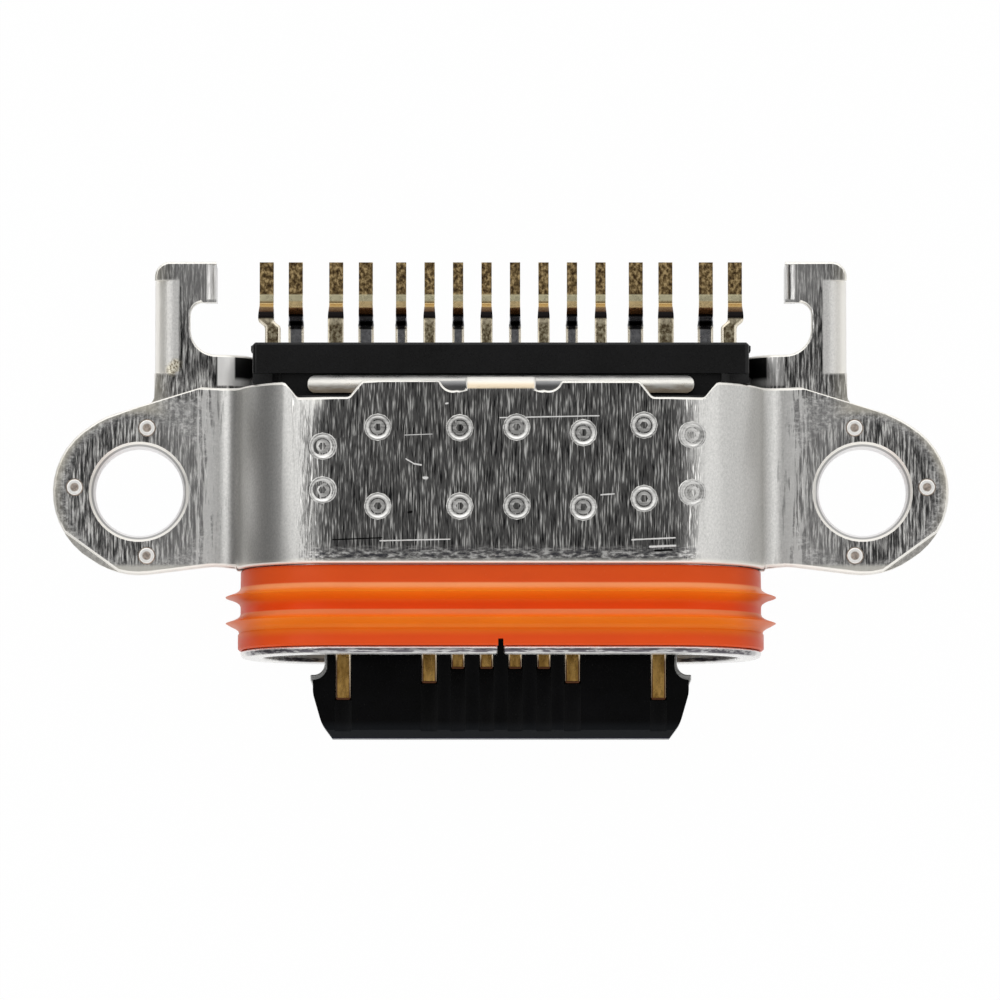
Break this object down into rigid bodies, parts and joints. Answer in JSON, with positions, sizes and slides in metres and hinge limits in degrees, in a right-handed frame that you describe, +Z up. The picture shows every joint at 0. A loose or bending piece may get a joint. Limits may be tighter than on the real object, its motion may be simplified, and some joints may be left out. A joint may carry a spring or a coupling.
{
  "type": "charging port connector",
  "caption": "Waterproof charging port connector: oval steel mouth with lip seal, black contact tongue, arched bracket with two screw ears, hooked solder legs and a row of gold leads.",
  "frame": {"origin": "midway between the two ear holes, on the plane where the two bracket ears meet, which is also the middle plane of the oval mouth", "axes": "+X along the line of the ear holes, +Y towards the solder leads and away from the plug, +Z up through the ear holes towards the arched bracket"},
  "size_m": [0.0156, 0.0084, 0.0038],
  "materials": {
    "bracket_steel": "brushed stainless sheet with scratches and weld marks",
    "shell_steel": "satin stainless, rolled rim",
    "strap_steel": "smooth satin stainless",
    "inner_steel": "plain stainless sheet",
    "seal_silicone": "smooth orange silicone",
    "black_insulator": "black moulded insulator",
    "potting": "cured sealant",
    "gold_plate": "gold plate over nickel"
  },
  "bodies": {
    "root": {"upper_bracket": "bracket_steel", "lower_bracket": "bracket_steel", "mouth_shell": "shell_steel", "seal_ring": "seal_silicone", "tongue": "black_insulator", "rear_housing": "black_insulator", "rear_strap": "strap_steel", "latch_plate": "inner_steel", "upper_shield_plate": "inner_steel", "lower_shield_plate": "inner_steel", "potting_seal": "potting", "upper_terminal_1": "gold_plate", "upper_terminal_2": "gold_plate", "upper_terminal_3": "gold_plate", "upper_terminal_4": "gold_plate", "upper_terminal_5": "gold_plate", "upper_terminal_6": "gold_plate", "upper_terminal_7": "gold_plate", "upper_terminal_8": "gold_plate", "lower_terminal_1": "gold_plate", "lower_terminal_2": "gold_plate", "lower_terminal_3": "gold_plate", "lower_terminal_4": "gold_plate", "lower_terminal_5": "gold_plate", "lower_terminal_6": "gold_plate", "lower_terminal_7": "gold_plate", "lower_terminal_8": "gold_plate"}
  },
  "joints": []
}
